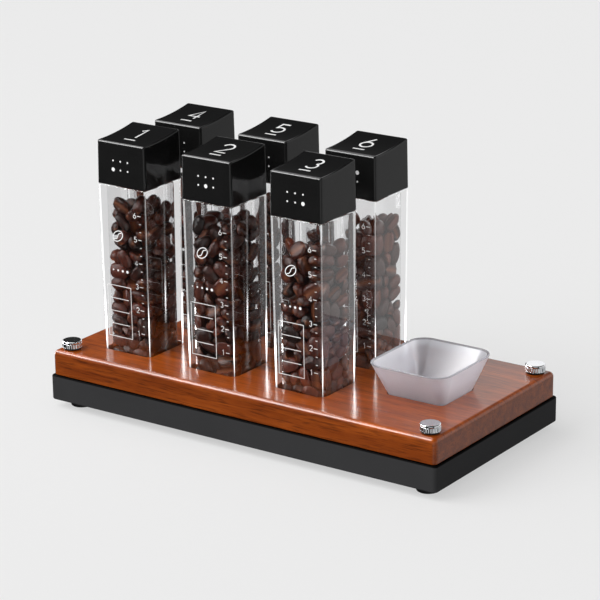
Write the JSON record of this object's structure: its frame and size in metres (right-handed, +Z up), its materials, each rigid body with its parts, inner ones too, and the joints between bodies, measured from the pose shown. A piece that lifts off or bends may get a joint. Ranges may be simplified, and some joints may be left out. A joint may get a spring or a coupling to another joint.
{
  "type": "coffee bean canister stand",
  "caption": "Varnished board on a black footed base, with square windows that hold clear lidded bean jars and a tapered dosing dish.",
  "frame": {"origin": "on the table, under the middle of the base plate", "axes": "+X along the long side towards the dish, -Y to the front, +Z up"},
  "size_m": [0.281, 0.138, 0.1733],
  "materials": {
    "black_lacquer": "fibreboard with satin black lacquer",
    "varnished_wood": "red-brown hardwood under glossy varnish",
    "chrome_cover": "polished chrome plate",
    "screw_steel": "zinc-plated steel",
    "black_rubber": "matte moulded rubber",
    "clear_plastic": "clear moulded plastic, polished",
    "silicone": "translucent silicone",
    "roasted_beans": "dark roasted coffee beans with an oily sheen",
    "black_plastic": "black moulded plastic, semi-gloss",
    "frosted_plastic": "translucent frosted plastic"
  },
  "bodies": {
    "stand": {"base_plate": "black_lacquer", "wood_board": "varnished_wood", "foot_1": "black_rubber", "foot_2": "black_rubber", "foot_3": "black_rubber", "foot_4": "black_rubber", "foot_screw_1": "screw_steel", "foot_screw_2": "screw_steel", "foot_screw_3": "screw_steel", "foot_screw_4": "screw_steel", "board_screw_1": "screw_steel", "board_screw_2": "screw_steel", "board_screw_3": "screw_steel", "board_screw_4": "screw_steel", "cover_washer_1": "black_rubber", "cover_washer_2": "black_rubber", "cover_washer_3": "black_rubber", "cover_washer_4": "black_rubber", "screw_cover_1": "chrome_cover", "screw_cover_2": "chrome_cover", "screw_cover_3": "chrome_cover", "screw_cover_4": "chrome_cover"},
    "jar_1": {"jar_1": "clear_plastic", "neck_seal_1": "silicone", "bean_charge_1": "roasted_beans"},
    "lid_1": {"lid_1": "black_plastic"},
    "jar_2": {"jar_2": "clear_plastic", "neck_seal_2": "silicone", "bean_charge_2": "roasted_beans"},
    "lid_2": {"lid_2": "black_plastic"},
    "jar_3": {"jar_3": "clear_plastic", "neck_seal_3": "silicone", "bean_charge_3": "roasted_beans"},
    "lid_3": {"lid_3": "black_plastic"},
    "jar_4": {"jar_4": "clear_plastic", "neck_seal_4": "silicone", "bean_charge_4": "roasted_beans"},
    "lid_4": {"lid_4": "black_plastic"},
    "jar_5": {"jar_5": "clear_plastic", "neck_seal_5": "silicone", "bean_charge_5": "roasted_beans"},
    "lid_5": {"lid_5": "black_plastic"},
    "jar_6": {"jar_6": "clear_plastic", "neck_seal_6": "silicone", "bean_charge_6": "roasted_beans"},
    "lid_6": {"lid_6": "black_plastic"},
    "dish": {"dosing_dish": "frosted_plastic"}
  },
  "joints": [
    {"name": "jar_1_lift", "type": "slide", "parent": "stand", "child": "jar_1", "axis": [0, 0, 1], "range_m": [0, 0.06]},
    {"name": "lid_1_lift", "type": "slide", "parent": "jar_1", "child": "lid_1", "axis": [0, 0, 1], "range_m": [0, 0.04]},
    {"name": "jar_2_lift", "type": "slide", "parent": "stand", "child": "jar_2", "axis": [0, 0, 1], "range_m": [0, 0.06]},
    {"name": "lid_2_lift", "type": "slide", "parent": "jar_2", "child": "lid_2", "axis": [0, 0, 1], "range_m": [0, 0.04]},
    {"name": "jar_3_lift", "type": "slide", "parent": "stand", "child": "jar_3", "axis": [0, 0, 1], "range_m": [0, 0.06]},
    {"name": "lid_3_lift", "type": "slide", "parent": "jar_3", "child": "lid_3", "axis": [0, 0, 1], "range_m": [0, 0.04]},
    {"name": "jar_4_lift", "type": "slide", "parent": "stand", "child": "jar_4", "axis": [0, 0, 1], "range_m": [0, 0.06]},
    {"name": "lid_4_lift", "type": "slide", "parent": "jar_4", "child": "lid_4", "axis": [0, 0, 1], "range_m": [0, 0.04]},
    {"name": "jar_5_lift", "type": "slide", "parent": "stand", "child": "jar_5", "axis": [0, 0, 1], "range_m": [0, 0.06]},
    {"name": "lid_5_lift", "type": "slide", "parent": "jar_5", "child": "lid_5", "axis": [0, 0, 1], "range_m": [0, 0.04]},
    {"name": "jar_6_lift", "type": "slide", "parent": "stand", "child": "jar_6", "axis": [0, 0, 1], "range_m": [0, 0.06]},
    {"name": "lid_6_lift", "type": "slide", "parent": "jar_6", "child": "lid_6", "axis": [0, 0, 1], "range_m": [0, 0.04]},
    {"name": "dish_lift", "type": "slide", "parent": "stand", "child": "dish", "axis": [0, 0, 1], "range_m": [0, 0.04]}
  ]
}
